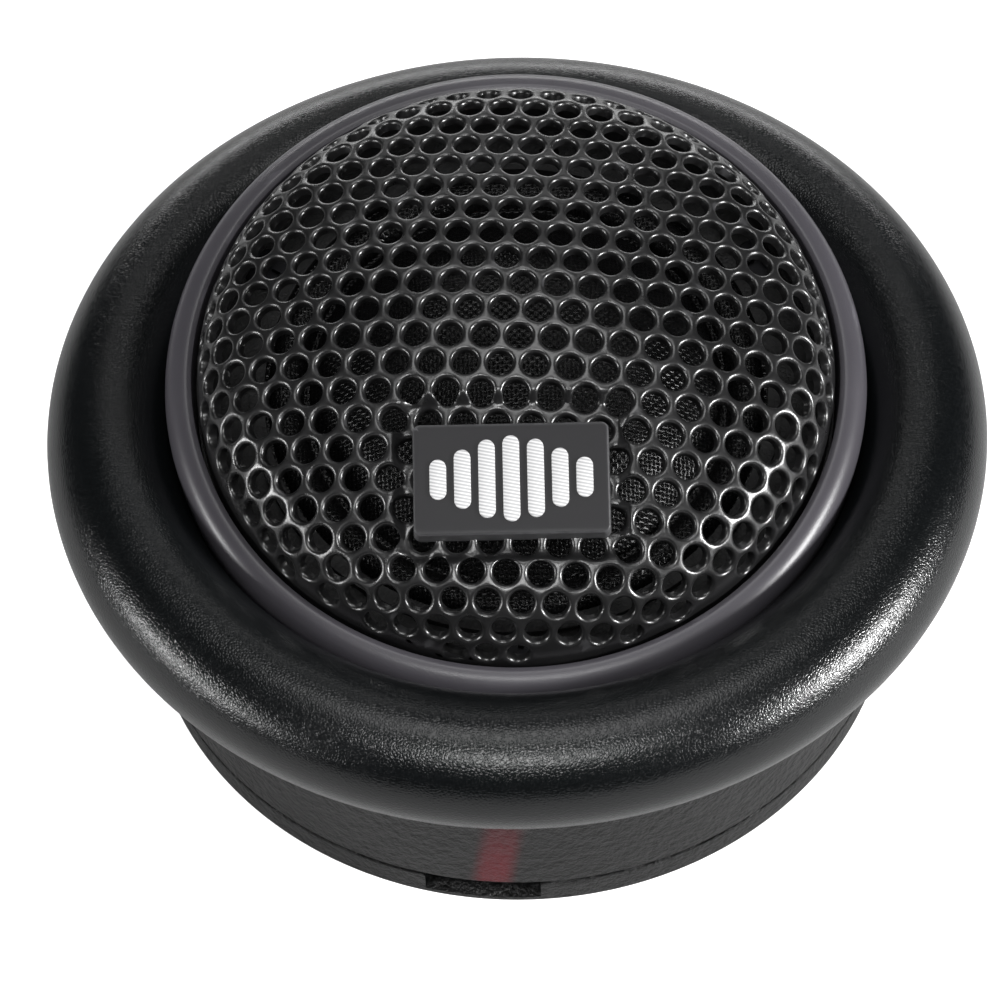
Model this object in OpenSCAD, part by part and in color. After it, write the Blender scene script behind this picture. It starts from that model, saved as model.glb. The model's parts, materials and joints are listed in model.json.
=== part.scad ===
// Swivelling dome tweeter in a surface-mount cup.
// The origin is the middle of the base plate's underside, +Z is up.
// Head pieces are drawn round the ball's centre, with the head's own axis along Z.

/* [Swivel ball] */
// Radius of the ball that the head's outside is part of
ball_r = 21; // [20.8:0.05:21.1]
// Height of the ball's centre above the mounting face
pivot_z = 21; // [20.8:0.1:21.5]
// Lean of the head towards -Y as it rests
head_tilt = 11; // [0:1:14]
// Furthest lean of the head either way
max_tilt = 15; // [14:1:15]

/* [Cup and trim ring] */
// Outer radius of the cup wall and the base plate
cup_r = 24.1; // [24:0.1:24.5]
// Height of the base plate's rim below the shadow groove
plate_h = 1.9; // [1.6:0.1:2]
// Height of the shadow groove between plate and cup
groove_h = 0.3; // [0.2:0.1:0.4]
// Outer radius of the trim ring
ring_r = 28.5; // [28:0.1:30]
// Radius of the trim ring's crest
crest_r = 24.5; // [24.4:0.1:24.8]
// Height of the trim ring's crest
crest_z = 21; // [20.8:0.1:21.4]
// Half the height of the trim ring's bulge
bulge_h = 3.7; // [3.6:0.05:3.8]

/* [Cable outlet and fixing holes] */
// Width of the cable channel in the base plate's edge
notch_w = 7; // [5:0.5:8]
// Sideways place of the cable channel
notch_x = -2.6; // [-3:0.1:3]
// Distance between the two panel screw holes
panel_spacing = 28; // [26:0.5:30]
// Radius of the panel screw holes
panel_hole_r = 1.7; // [1.5:0.1:2]

/* [Bezel and grille] */
// Height of the bezel's front plane above the ball's centre
rim_h = 1.4; // [1.2:0.1:1.6]
// Radius of the bezel's opening
bezel_bore = 19.3; // [19.2:0.05:19.35]
// Rise of the grille above the bezel's front plane
grille_rise = 6.8; // [6:0.1:7]
// Radius of the grille's spherical crown
crown_r = 43.2; // [42:0.2:45]
// Half angle of the grille's spherical crown
crown_deg = 21.4; // [21:0.1:21.6]
// Radius of the grille's rolled shoulder
shoulder_r = 5.2; // [5.1:0.05:5.3]
// Thickness of the grille sheet
sheet = 0.6; // [0.5:0.05:0.65]

/* [Badge] */
// Width of the badge plate
badge_w = 11.2; // [9:0.1:11.6]
// Height of the badge plate
badge_l = 6.5; // [5:0.1:6.8]
// Distance from the grille's middle to the badge, along the sheet
badge_arc = 10.3; // [9.5:0.1:10.4]
// Sideways place of the badge
badge_x = -0.35; // [-0.6:0.05:0.6]
// Depth of the pressed pocket round the badge
pocket_depth = 0.7; // [0.65:0.05:0.8]

/* [Motor and diaphragm] */
// Radius of the silk dome at its edge
dome_r = 12.5; // [12.4:0.05:12.55]
// Height of the silk dome
dome_rise = 5.4; // [4.5:0.1:6]
// Outer radius of the steel yoke
yoke_r = 15; // [14.8:0.1:15.1]
// Thickness of the magnet
magnet_h = 2.5; // [2:0.1:2.5]

/* [Hidden] */
$fn = 96;
eps = 0.01;
far = 60;

// Cup and base
neck_r = cup_r - 0.5;
cup_z = plate_h + groove_h;
cup_bore = cup_r - 2;
ledge_z = 13.8;
flange_bore = 22.8;
wall_top = 15.1;
boss_ring_r = 20;
boss_r = 1.9;
boss_top = 6.8;
boss_foot = cup_z + 0.05;
boss_angles = [90, 210, 330];
screw_r = 1;
hole_gap = 0.1;
screw_head_r = 1.9;
notch_inner = 17;
notch_floor = 0.4;
well_r = 8.4;
well_z = 1.2;
stop_w = 2;
stop_top = 11;

// Trim ring
ring_mid_z = crest_z - bulge_h;
side_r = 3.5;
bulge_w = ring_r - crest_r;
side_shift = bulge_w - side_r;
arc_shift = (side_shift * side_shift - pow(bulge_h - side_r, 2)) / (2 * (bulge_h - side_r));
arc_r = bulge_h + arc_shift;
tangent_x = arc_r * side_shift / norm([side_shift, arc_shift]);
valley_r = ball_r + 0.5;
lip_z = 15.7;
lip_h = 0.55;

// Cradle
seat_r = ball_r + 0.2;
cradle_r = ball_r + 1.3;
cradle_rim = -6;
cradle_foot_deg = 42;
cap_r = 15.5;
cap_clear = cap_r + 0.1;
cradle_wall = 1.2;
cradle_floor = -17;
cap_deg = 27;
flange_r = flange_bore - 0.15;
flange_h = 1.1;
o_ring_r = 0.45;
o_ring_ball = ball_r + 0.12 + o_ring_r;
o_ring_deg = 71.5;

// Head
bead_r = 1.4;
bead_x = sqrt(pow(ball_r - bead_r, 2) - pow(rim_h - bead_r, 2));
bead_deg = asin((rim_h - bead_r) / (ball_r - bead_r));
inner_edge_h = rim_h - 0.12;
parting_h = -6;
plate_top = -2;
plate_bottom = -3.6;
plate_r = bezel_bore - 0.05;
head_back = -11.5;
back_wall = 1.2;
cavity_r = 18;
skin = 1.3;
head_boss_ring_r = 17.5;
head_boss_angles = [30, 150, 270];
head_screw_r = 0.8;
head_screw_head_r = 1.4;
crown_c = rim_h + grille_rise - crown_r;
shoulder_x = (crown_r - shoulder_r) * sin(crown_deg);
shoulder_z = crown_c + (crown_r - shoulder_r) * cos(crown_deg);
badge_deg = badge_arc / crown_r * 180 / PI;
pocket_w = badge_w + 1.9;
pocket_l = badge_l + 2.9;
pocket_shift = 0.3;
pocket_deg = crown_deg + 3;
badge_proud = 0.35;
badge_h = 2;
bars = 7;
bar_w = 0.95;
bar_h = 0.15;
bar_pitch = 1.38;
bar_short = 0.9;
bar_gain = 3.1;

// Motor and diaphragm
yoke_bore = 13.3;
yoke_base = 2;
pole_r = 12.2;
pole_top = -3.9;
pole_h = 1.6;
magnet_top = pole_top - pole_h;
yoke_floor = magnet_top - magnet_h;
dome_edge = -2.2;
dome_t = 0.25;
dome_sphere_r = (dome_r * dome_r + dome_rise * dome_rise) / (2 * dome_rise);
dome_flange_r = dome_r + 0.35;
former_r = dome_r + 0.07;
former_t = 0.12;
coil_r = former_r + 0.38;
roll_r = 1.1;
roll_x = dome_flange_r + roll_r;
land_r = roll_x + roll_r + 0.9;

// Tilt guide
shank_r = 1.45;
slot_w = 3.1;
washer_r = 3.2;
washer_h = 0.5;
spring_h = 0.4;
cap_out = cap_clear + cradle_wall;
washer_top = -cap_out - 0.1;
guide_head_r = 2.6;
guide_head_h = 1;

// Terminals and leads
lead_x = 2.4;
lead_h = -2.85;
lead_r = 0.25;
lead_drop_y = 16.3;
board = [9, 0.8, 4];
board_y = 15.05;
board_top = -5;
grommet_y = 14.9;
grommet_r = 1.6;
lead_bore_r = 0.9;
capacitor_size = [6, 1.5, 3.7];
capacitor_leg = 0.8;
capacitor_deg = 120;
capacitor_h = -7.9;

module in_head() {
    translate([0, 0, pivot_z]) rotate([head_tilt, 0, 0]) children();
}

// A rectangle in the profile plane, from radius ra to rb and height za to zb
module band(ra, rb, za, zb) {
    translate([ra, za]) square([rb - ra, zb - za]);
}

// A ring of round section, or a tube, drawn about Z
module tube(ra, rb, za, zb) {
    rotate_extrude() band(ra, rb, za, zb);
}

module disc(r, za, zb) {
    translate([0, 0, za]) cylinder(r = r, h = zb - za);
}

// The part of a shell of radii ra and rb that lies between two angles measured from the +Y profile axis
module arc_band(ra, rb, from_deg, to_deg) {
    mid = (from_deg + to_deg) / 2;
    intersection() {
        difference() {
            circle(rb);
            circle(ra);
        }
        polygon([
            [0, 0],
            far * [sin(from_deg), cos(from_deg)],
            far * [sin(mid), cos(mid)],
            far * [sin(to_deg), cos(to_deg)]
        ]);
    }
}

// Copies of a child on a circle
module around(radius, angles) {
    for (a = angles) rotate([0, 0, a]) translate([radius, 0, 0]) children();
}

// A countersunk screw hanging down from z = 0, with a cross recess
module countersunk_screw(r, head_r, length) {
    difference() {
        union() {
            translate([0, 0, -head_r + r]) cylinder(r1 = r, r2 = head_r, h = head_r - r);
            translate([0, 0, -length]) cylinder(r = r, h = length - head_r + r + eps);
        }
        for (a = [0, 90]) rotate([0, 0, a]) cube([head_r * 1.2, head_r * 0.25, r], center = true);
    }
}

// The hole that a countersunk screw lies in, a little wider than the screw
module countersink(r, head_r, length) {
    translate([0, 0, -head_r + r]) cylinder(r1 = r, r2 = head_r, h = head_r - r + eps);
    translate([0, 0, -length]) cylinder(r = r, h = length);
}

// ---- Base ----

module base_plate() {
    color("#26282a") difference() {
        union() {
            disc(cup_r, 0, plate_h);
            disc(neck_r, plate_h - eps, cup_z);
        }
        disc(well_r, well_z, cup_z + 1);
        translate([notch_x - notch_w / 2, -cup_r - 1, notch_floor])
            cube([notch_w, cup_r + 1 - notch_inner, cup_z]);
        for (side = [-1, 1]) translate([side * panel_spacing / 2, 0, 0]) {
            disc(panel_hole_r, -1, cup_z + 1);
            translate([0, 0, cup_z]) countersink(panel_hole_r, panel_hole_r + 1.3, 1);
        }
        around(boss_ring_r, boss_angles) mirror([0, 0, 1])
            countersink(screw_r + hole_gap, screw_head_r + hole_gap, cup_z + 1);
    }
}

module base_screws() {
    color("#8d9093") around(boss_ring_r, boss_angles) mirror([0, 0, 1])
        countersunk_screw(screw_r, screw_head_r, boss_top - 0.8);
}

module mounting_cup() {
    color("#2a2c2e") difference() {
        union() {
            rotate_extrude() polygon([
                [cup_bore, cup_z],
                [cup_r, cup_z],
                [cup_r, wall_top],
                [flange_bore, wall_top],
                [flange_bore, ledge_z],
                [cup_bore, ledge_z]
            ]);
            around(boss_ring_r, boss_angles) translate([0, 0, boss_foot]) {
                cylinder(r = boss_r, h = boss_top - boss_foot);
                translate([0, -stop_w / 2, 0])
                    cube([cup_bore - boss_ring_r + 0.8, stop_w, boss_top - boss_foot]);
            }
            translate([-stop_w / 2, cup_bore - 1.5, boss_top - 1])
                cube([stop_w, 2.3, stop_top - boss_top + 1]);
        }
        around(boss_ring_r, boss_angles) disc(screw_r, cup_z - 1, boss_top - 0.6);
    }
}

// One half of the trim ring's bulge, outside the crest
module bulge_outer() {
    intersection() {
        translate([crest_r, ring_mid_z]) {
            translate([side_shift, 0]) circle(side_r);
            intersection() {
                translate([0, -arc_shift]) circle(arc_r);
                translate([0, arc_shift]) circle(arc_r);
                translate([-1, -far / 2]) square([tangent_x + 1, far]);
            }
        }
        band(crest_r - eps, far, 0, far);
    }
}

module bulge_inner() {
    intersection() {
        translate([crest_r, ring_mid_z]) circle(bulge_h);
        band(0, crest_r, 0, far);
    }
}

module trim_ring() {
    color("#17181a") rotate_extrude($fn = 180) difference() {
        union() {
            bulge_outer();
            bulge_inner();
            band(20, crest_r - 2, lip_z - lip_h, lip_z);
        }
        band(0, cup_r + 0.05, 0, lip_z - lip_h);
        intersection() {
            translate([0, pivot_z]) circle(valley_r);
            band(0, far, lip_z, far);
        }
        translate([0, pivot_z]) circle(seat_r - 0.05);
    }
}

// ---- Cradle that turns in the cup ----

// The room that the cradle leaves for the ball, and for the back of the head as it leans
module cradle_hollow() {
    intersection() {
        circle(seat_r);
        polygon([
            [-1, 1],
            [-1, -cap_clear * cos(cap_deg)],
            cap_clear * [sin(cap_deg), -cos(cap_deg)],
            seat_r * [sin(cradle_foot_deg), -cos(cradle_foot_deg)],
            [far, -seat_r * cos(cradle_foot_deg)],
            [far, 1]
        ]);
    }
    intersection() {
        circle(cap_clear);
        band(-1, cap_clear * sin(cap_deg), -far, -10);
    }
}

module cradle_profile() {
    difference() {
        intersection() {
            circle(cradle_r);
            band(0, far, cradle_floor, cradle_rim);
        }
        cradle_hollow();
        difference() {
            band(-1, cap_out * sin(cap_deg), -far, -10);
            circle(cap_out);
        }
    }
}

module cradle_flange_profile() {
    difference() {
        band(seat_r - 1, flange_r, cradle_rim - flange_h, cradle_rim);
        circle(seat_r);
    }
}

module tilt_slot() {
    reach = (cap_out - cradle_wall / 2) * sin(max_tilt + 0.4);
    for (side = [-1, 1]) translate([0, side * reach, 0]) disc(slot_w / 2, -far, -10);
    translate([-slot_w / 2, -reach, -far]) cube([slot_w, 2 * reach, far - 10]);
}

module swivel_cradle() {
    color("#303234") translate([0, 0, pivot_z]) difference() {
        union() {
            rotate_extrude() cradle_profile();
            rotate_extrude() cradle_flange_profile();
            translate([-stop_w / 2, -cup_bore + 0.5, -12.4]) cube([stop_w, 2.6, 2]);
        }
        rotate_extrude() o_ring_profile();
        tilt_slot();
        translate([-3.2, 10, -far]) cube([6.4, 20, far - 8.8]);
    }
}

module o_ring_profile() {
    rotate(-o_ring_deg) translate([0, -o_ring_ball]) circle(o_ring_r, $fn = 32);
}

module friction_ring() {
    color("#101010") translate([0, 0, pivot_z]) rotate_extrude() o_ring_profile();
}

// ---- Head ----

// What is cut away above the bezel's narrow front and outside its rounded edge
module bezel_front_cut() {
    polygon([
        [bezel_bore - 1, inner_edge_h],
        [bezel_bore, inner_edge_h],
        [bead_x, rim_h],
        [bead_x, far],
        [bezel_bore - 1, far]
    ]);
    difference() {
        band(bead_x - eps, far, ball_r * sin(bead_deg), far);
        translate([bead_x, rim_h - bead_r]) circle(bead_r);
    }
}

module bezel() {
    color("#1b1c1e") in_head() rotate_extrude($fn = 180) difference() {
        intersection() {
            circle(ball_r);
            band(bezel_bore, far, parting_h, far);
        }
        bezel_front_cut();
    }
}

// The curve of the grille sheet, between two depths under its outer face
module sheet_profile(d0, d1, to_deg) {
    translate([0, crown_c]) arc_band(crown_r - d1, crown_r - d0, 0, to_deg);
}

module at_badge() {
    translate([badge_x, 0, crown_c]) rotate([badge_deg, 0, 0]) children();
}

// The pocket reaches further past the badge towards the grille's middle
module pocket_column(grow) {
    at_badge() translate([0, pocket_shift, crown_r])
        cube([pocket_w + 2 * grow, pocket_l + 2 * grow, 8], center = true);
}

module grille() {
    color("#141516") in_head() {
        difference() {
            rotate_extrude($fn = 180) {
                sheet_profile(0, sheet, crown_deg + 0.01);
                translate([shoulder_x, shoulder_z]) arc_band(shoulder_r - sheet, shoulder_r, crown_deg, 90);
                band(shoulder_x + shoulder_r - sheet, shoulder_x + shoulder_r, plate_top, shoulder_z + 0.05);
            }
            pocket_column(0);
        }
        intersection() {
            rotate_extrude($fn = 180) sheet_profile(0, sheet + pocket_depth, pocket_deg);
            difference() {
                pocket_column(eps);
                pocket_column(-sheet);
            }
        }
        intersection() {
            rotate_extrude($fn = 180) sheet_profile(pocket_depth, sheet + pocket_depth, pocket_deg);
            pocket_column(-sheet + eps);
        }
    }
}

module badge_plate() {
    color("#2b2c2f") in_head() difference() {
        at_badge() translate([0, 0, crown_r + badge_proud - badge_h / 2])
            cube([badge_w, badge_l, badge_h], center = true);
        translate([0, 0, crown_c]) sphere(r = crown_r - pocket_depth + 0.02, $fn = 180);
    }
}

// Level-meter bars, tallest in the middle
module badge_emblem() {
    color("#e8e8e8") in_head() at_badge() translate([0, 0, crown_r + badge_proud]) for (i = [0 : bars - 1]) {
        bar_l = bar_short + bar_gain * pow(sin(180 * (i + 1) / (bars + 1)), 2);
        translate([(i - (bars - 1) / 2) * bar_pitch, 0, 0]) linear_extrude(bar_h) {
            square([bar_w, bar_l], center = true);
            for (end = [-1, 1]) translate([0, end * bar_l / 2]) circle(bar_w / 2, $fn = 32);
        }
    }
}

module faceplate() {
    color("#1d1d1f") in_head() difference() {
        rotate_extrude() {
            band(yoke_bore + 0.1, land_r + 0.1, plate_bottom, dome_edge);
            band(land_r + 0.1 - eps, plate_r, plate_bottom, plate_top);
        }
        around(head_boss_ring_r, head_boss_angles) translate([0, 0, plate_top])
            countersink(head_screw_r + hole_gap, head_screw_head_r + hole_gap, 4);
        for (side = [-1, 1]) translate([side * lead_x - 0.6, 11, plate_bottom - 1]) cube([1.2, 6, 4]);
    }
}

module surround_ring() {
    color("#222224") in_head() tube(land_r - 0.75, land_r + 0.1, plate_top, plate_top + 0.6);
}

// Half-roll surround with its flat outer land
module surround() {
    color("#18181a") in_head() rotate_extrude() {
        intersection() {
            translate([roll_x, dome_edge]) difference() {
                circle(roll_r, $fn = 64);
                circle(roll_r - 0.2, $fn = 64);
            }
            band(0, far, dome_edge, far);
        }
        band(roll_x + roll_r - 0.1, land_r, dome_edge, plate_top);
    }
}

module top_plate() {
    color("#9a9da0") in_head() disc(pole_r, magnet_top, pole_top);
}

module magnet() {
    color("#b9bcc0") in_head() disc(pole_r - 0.8, yoke_floor, magnet_top);
}

module yoke() {
    color("#85888b") in_head() difference() {
        disc(yoke_r, yoke_floor - yoke_base, plate_bottom);
        disc(yoke_bore, yoke_floor, plate_bottom + 1);
    }
}

module damping_pad() {
    color("#4a4438") in_head() disc(9, pole_top, pole_top + 1);
}

// The shell's profile: ball zone, flat back, domed boss and the spigot for the bezel
module shell_profile() {
    difference() {
        union() {
            intersection() {
                circle(ball_r);
                band(0, far, head_back, parting_h);
            }
            intersection() {
                circle(cap_r);
                band(0, far, -far, head_back + 0.5);
            }
            band(cavity_r - 1, plate_r, parting_h - 0.5, plate_bottom);
        }
        intersection() {
            circle(ball_r - skin);
            band(-1, cavity_r, head_back + back_wall, 0);
        }
        intersection() {
            circle(cap_r - back_wall);
            band(-1, far, -far, head_back + back_wall + 0.5);
        }
    }
}

module head_shell() {
    color("#232426") in_head() difference() {
        union() {
            rotate_extrude() shell_profile();
            around(head_boss_ring_r, head_boss_angles) disc(1.5, head_back + 3, plate_bottom - 0.05);
            disc(2.8, -cap_r + 0.4, yoke_floor - yoke_base - 0.1);
        }
        around(head_boss_ring_r, head_boss_angles) disc(head_screw_r, plate_bottom - 4.4, plate_bottom + 1);
        disc(shank_r, -far, -cap_r + 3);
        translate([0, grommet_y, 0]) disc(grommet_r, head_back - 1, head_back + back_wall + 0.3);
    }
}

module head_screws() {
    color("#8d9093") in_head() around(head_boss_ring_r, head_boss_angles) translate([0, 0, plate_top])
        countersunk_screw(head_screw_r, head_screw_head_r, 5.8);
}

// Shoulder screw that keeps the head on the cradle and slides in its slot
module guide_screw() {
    head_top = washer_top - washer_h - spring_h;
    color("#9fa2a5") in_head() difference() {
        union() {
            disc(shank_r, head_top - eps, -cap_r + 2.9);
            disc(guide_head_r, head_top - guide_head_h, head_top);
        }
        for (a = [0, 90]) rotate([0, 0, a]) translate([0, 0, head_top - guide_head_h])
            cube([3, 0.6, 1], center = true);
    }
}

module guide_washer() {
    color("#b5b7ba") in_head() tube(shank_r + 0.05, washer_r, washer_top - washer_h, washer_top);
}

// Coned spring washer that sets how hard the head is held
module disc_spring() {
    spring_top = washer_top - washer_h;
    color("#a3a5a8") in_head() rotate_extrude() polygon([
        [shank_r + 0.1, spring_top - spring_h],
        [shank_r + 0.1, spring_top - spring_h + 0.2],
        [2.4, spring_top],
        [2.4, spring_top - 0.2]
    ]);
}

module terminal_board() {
    color("#7a5a33") in_head() translate([-board[0] / 2, board_y, board_top - board[2]]) cube(board);
}

module solder_tab(side) {
    translate([side * lead_x, board_y + board[1], 0]) difference() {
        translate([-0.9, 0, board_top - board[2] + 0.4]) cube([1.8, 0.3, board[2] - 0.8]);
        translate([0, -1, board_top - board[2] / 2 - 0.7]) rotate([-90, 0, 0])
            cylinder(r = 0.4, h = 3, $fn = 32);
    }
}

module positive_tab() {
    color("#c9a24a") in_head() solder_tab(1);
}

module negative_tab() {
    color("#c9a24a") in_head() solder_tab(-1);
}

// Flat film capacitor beside the yoke, between two screw bosses, with its two legs
module capacitor() {
    color("#b5401f") in_head() rotate([0, 0, capacitor_deg]) translate([0, yoke_r + 0.1, capacitor_h]) {
        translate([-capacitor_size[0] / 2, 0, 0]) cube(capacitor_size);
        leg_x = (capacitor_size[0] + capacitor_leg) / 2;
        for (side = [-1, 1]) translate([side * leg_x, capacitor_size[1] / 2, capacitor_size[2] / 2])
            cube([capacitor_leg, 0.4, 0.5], center = true);
    }
}

module lead_grommet() {
    color("#111111") in_head() translate([0, grommet_y, 0])
        tube(lead_bore_r, grommet_r, head_back - 0.05, head_back + back_wall);
}

// Braided leads from the coil to the solder tabs
module tinsel_leads() {
    start_y = sqrt(pow(coil_r + 0.1, 2) - lead_x * lead_x);
    color("#b87333") in_head() for (side = [-1, 1]) translate([side * lead_x, 0, lead_h]) {
        translate([0, start_y, 0]) rotate([-90, 0, 0])
            cylinder(r = lead_r, h = lead_drop_y - start_y, $fn = 24);
        translate([0, lead_drop_y, 0]) sphere(r = lead_r, $fn = 24);
        translate([0, lead_drop_y, board_top - 0.6 - lead_h])
            cylinder(r = lead_r, h = lead_h - board_top + 0.6, $fn = 24);
    }
}

// ---- Moving diaphragm ----

module silk_dome() {
    centre = dome_edge + dome_rise - dome_sphere_r;
    color("#1a1a1c") in_head() rotate_extrude($fn = 180) {
        intersection() {
            translate([0, centre]) difference() {
                circle(dome_sphere_r);
                circle(dome_sphere_r - dome_t);
            }
            band(0, dome_r, dome_edge, far);
        }
        band(dome_r - 0.4, dome_flange_r, dome_edge - dome_t, dome_edge);
    }
}

module coil_former() {
    color("#c8b070") in_head() tube(former_r - former_t, former_r, -6.3, dome_edge - dome_t);
}

module voice_coil() {
    color("#b8622c") in_head() tube(former_r, coil_r, -5.9, -3.5);
}

base_plate();
base_screws();
mounting_cup();
trim_ring();
swivel_cradle();
friction_ring();
bezel();
grille();
badge_plate();
badge_emblem();
faceplate();
surround_ring();
surround();
top_plate();
magnet();
yoke();
damping_pad();
head_shell();
head_screws();
guide_screw();
guide_washer();
disc_spring();
terminal_board();
positive_tab();
negative_tab();
capacitor();
lead_grommet();
tinsel_leads();
silk_dome();
coil_former();
voice_coil();
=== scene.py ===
import json
import math

import bmesh
import bpy
import numpy as np
from mathutils import Matrix, Vector
from mathutils.geometry import delaunay_2d_cdt


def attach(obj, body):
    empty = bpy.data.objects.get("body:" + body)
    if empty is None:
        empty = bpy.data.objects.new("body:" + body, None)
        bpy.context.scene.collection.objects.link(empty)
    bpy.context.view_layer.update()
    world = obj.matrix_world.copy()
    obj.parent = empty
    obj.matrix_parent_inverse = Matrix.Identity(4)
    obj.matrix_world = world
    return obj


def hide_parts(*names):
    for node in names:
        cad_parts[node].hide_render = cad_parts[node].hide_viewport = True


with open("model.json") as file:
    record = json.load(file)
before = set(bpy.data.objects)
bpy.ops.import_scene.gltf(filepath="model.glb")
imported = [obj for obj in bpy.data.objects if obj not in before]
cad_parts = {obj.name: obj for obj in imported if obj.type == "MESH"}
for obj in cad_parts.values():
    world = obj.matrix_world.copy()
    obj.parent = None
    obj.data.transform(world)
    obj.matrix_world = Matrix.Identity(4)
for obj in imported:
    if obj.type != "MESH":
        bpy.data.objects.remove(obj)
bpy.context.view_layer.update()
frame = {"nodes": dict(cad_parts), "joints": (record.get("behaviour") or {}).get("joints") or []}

# A dome tweeter whose head swivels in a surface-mount cup. Shapes are worked out in millimetres, in the
# profile plane (radius, height) of the row frame or of the head's own frame, and become metres in mesh().

MM = 0.001

# ---- Places that the frame gives ----

JOINTS = {joint["name"]: joint for joint in frame["joints"]}
PIVOT = Vector(JOINTS["head_tilt"]["pos_m"])
HEAD_AXIS = Vector(JOINTS["diaphragm_stroke"]["axis"]).normalized()
ROW = Matrix.Identity(4)


def head_frame():
    """From head coordinates (Z along the head's axis, zero at the ball's centre) to the row frame."""
    across = Vector((1, 0, 0))
    turn = Matrix((across, HEAD_AXIS.cross(across), HEAD_AXIS)).transposed()
    return Matrix.Translation(PIVOT) @ turn.to_4x4()


HEAD = head_frame()
HEAD_LEAN = math.atan2(-HEAD_AXIS.y, HEAD_AXIS.z)


def reach(node, place):
    """A CAD node's smallest and largest radius round a frame's Z axis,
    then its lowest and highest point, in mm."""
    to_local = place.inverted()
    points = [to_local @ v.co / MM for v in frame["nodes"][node].data.vertices]
    radii = [math.hypot(p.x, p.y) for p in points]
    heights = [p.z for p in points]
    return min(radii), max(radii), min(heights), max(heights)


# ---- Sizes in mm that repeat the design's ----

# The ball and the trim ring round it.
BALL_R = reach("bezel", HEAD)[1]
PIVOT_Z = PIVOT.z / MM
CREST_R = 24.5
RING_SIDE_R = 3.5
VALLEY_GAP = 0.5
LIP_Z = 15.7
LIP_H = 0.55
LIP_GAP = 0.15
REBATE_GAP = 0.05

# The bezel's rounded front, and how far its inner edge lies under the roll's top.
BEAD_R = 1.4
RIM_DROP = 0.12

# The grille sheet: a crown, a tighter shoulder and a straight skirt.
CROWN_R = 43.2
CROWN_TURN = math.radians(21.4)
SHOULDER_R = 5.2
SHEET = 0.6

# Its holes, as places on the flat blank.
HOLE_PITCH = 2.014
HOLE_R = 0.75
HOLE_LIP = 0.22
HOLE_TURN = math.radians(-4.29)
HOLE_START = (0.52, 1.883)
HOLES_END = 20.95
HOLE_ROWS = 16
BLIND_BAND = 0.6
CELL_REACH = HOLE_PITCH * 0.58
BAND_R = 22.9
BAND_STEPS = 240

# The badge, and the pocket pressed in the grille for it.
BADGE_ARC = 10.3
BADGE_X = -0.35
BADGE_W = 11.2
BADGE_L = 6.5
BADGE_CORNER = 0.45
BADGE_PROUD = 0.35
BADGE_SINK = 0.02
POCKET_DEPTH = 0.7
POCKET_W = BADGE_W + 1.9
POCKET_L = BADGE_L + 2.9
POCKET_SHIFT = 0.3
POCKET_CORNER = 1.2
POCKET_SLOPE = 0.55

# The bars on the badge.
BARS = 7
BAR_W = 0.95
BAR_H = 0.15
BAR_PITCH = 1.38
BAR_SHORT = 0.9
BAR_GAIN = 3.1
BAR_EDGE = 0.05

# The cup, its screw bosses and its stop rib.
CUP_BORE = 22.1
FLANGE_BORE = 22.8
LEDGE_Z = 13.8
BOSS_RING_R = 20
BOSS_R = 1.9
BOSS_TOP = 6.8
BOSS_FOOT_GAP = 0.05
BOSS_TURNS = (90, 210, 330)
WEB_DROP = 0.1
BORE_SHORT = 0.6
INTO_WALL = 0.8
STOP_W = 2
STOP_DEPTH = 1.5
STOP_TOP = 11
STOP_FOOT = BOSS_TOP - 1

# The base plate, its cable channel and its countersunk holes.
PLATE_H = 1.9
NECK_INSET = 0.5
WELL_R = 8.4
WELL_Z = 1.2
SCREW_R = 1
SCREW_HEAD_R = 1.9
HOLE_GAP = 0.1
NOTCH_X = -2.6
NOTCH_W = 7
NOTCH_INNER = 17
NOTCH_FLOOR = 0.4
PANEL_HOLE_X = 14
PANEL_HOLE_R = 1.7
PANEL_HEAD_R = 3

# The silk dome.
DOME_RISE = 5.4
DOME_T = 0.25
DOME_INSET = 0.35

# The red stripe on the cup's near side, which is faint at the top and ends at the shadow groove.
STRIPE_X = -2.3
STRIPE_W = 2.6
STRIPE_LEAN = 0.12
STRIPE_FAINT_Z = 13
STRIPE_FULL_Z = 3
STRIPE_FOOT_Z = 2.1
STRIPE_FOOT_SOFT = 0.3

# Spacing of the emblem's hatching and of the coil's turns.
HATCH_PITCH = 0.19
COIL_PITCH = 0.16

# How far a cutter reaches past what it cuts.
PAST = 1

# Widths over which the outlines' corners are rounded.
RING_EDGE = 0.16
EDGE = 0.14
FINE_EDGE = 0.1

# Points round a lathed piece, and round a post.
SPIN = 288
POST_SPIN = 64


# ---- Outlines in the profile plane ----

def arc(centre, radius, start, end, count=40):
    """Points on an arc from one angle to another, in degrees."""
    turns = [math.radians(start + (end - start) * i / (count - 1)) for i in range(count)]
    return [(centre[0] + radius * math.cos(t), centre[1] + radius * math.sin(t)) for t in turns]


def bearing(centre, point):
    """Angle in degrees at which a point lies from a centre."""
    return math.degrees(math.atan2(point[1] - centre[1], point[0] - centre[0]))


def crossing(centre_a, radius_a, centre_b, radius_b, left):
    """One of the two points where two circles cross, left or right of the line from a to b."""
    dx, dy = centre_b[0] - centre_a[0], centre_b[1] - centre_a[1]
    gap = math.hypot(dx, dy)
    along = (gap * gap + radius_a * radius_a - radius_b * radius_b) / (2 * gap)
    off = math.sqrt(radius_a * radius_a - along * along) * (1 if left else -1)
    return (
        centre_a[0] + (along * dx - off * dy) / gap,
        centre_a[1] + (along * dy + off * dx) / gap,
    )


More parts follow.
